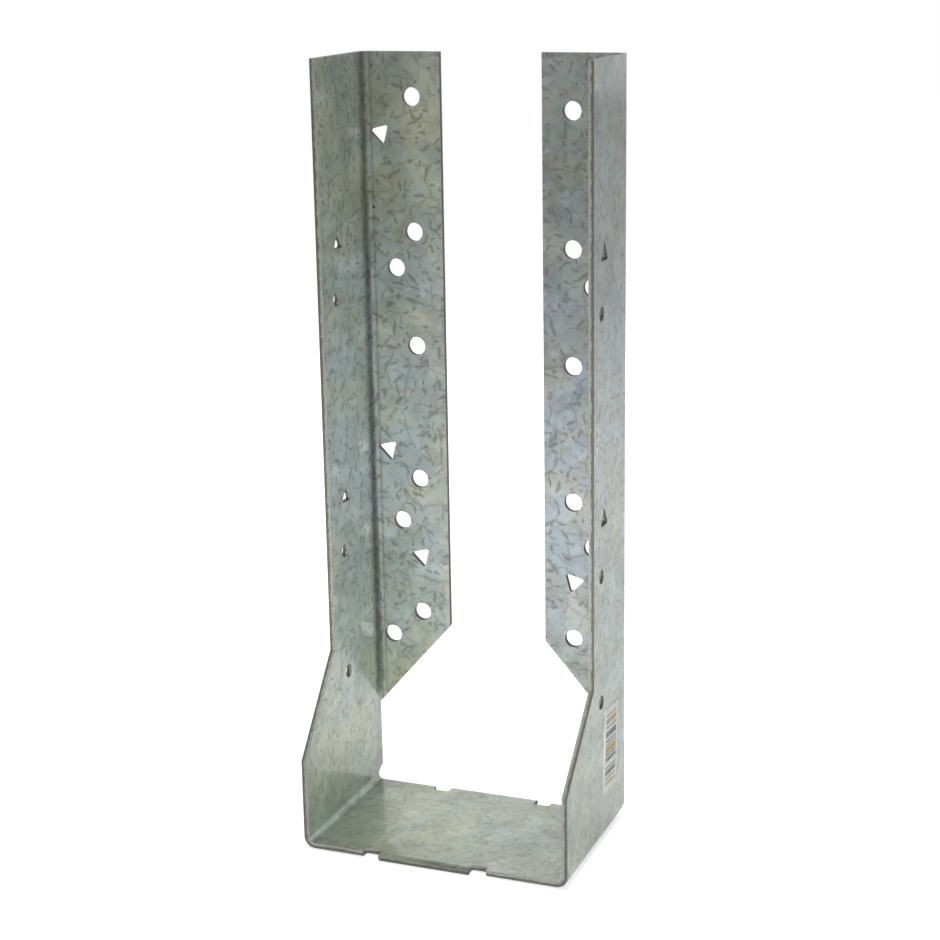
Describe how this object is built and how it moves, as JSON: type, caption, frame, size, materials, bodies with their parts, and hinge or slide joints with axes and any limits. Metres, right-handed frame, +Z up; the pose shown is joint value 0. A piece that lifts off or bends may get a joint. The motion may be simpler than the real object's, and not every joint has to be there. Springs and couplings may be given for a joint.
{
  "type": "joist hanger",
  "caption": "Concealed-flange joist hanger of folded galvanized sheet: a seat with tall sides that hold a joist, and inward flanges that nail to the header.",
  "frame": {"origin": "on the surface the hanger stands on, under the middle of its width and of its depth", "axes": "+X across the joist, +Y towards the header, +Z up along the sides"},
  "size_m": [0.0945, 0.0664, 0.2624],
  "materials": {
    "galvanized": "spangled hot-dip galvanized, half gloss",
    "paper": "matt paper label with plain coloured bars"
  },
  "bodies": {
    "root": {"hanger": "galvanized", "label": "paper"}
  },
  "joints": []
}
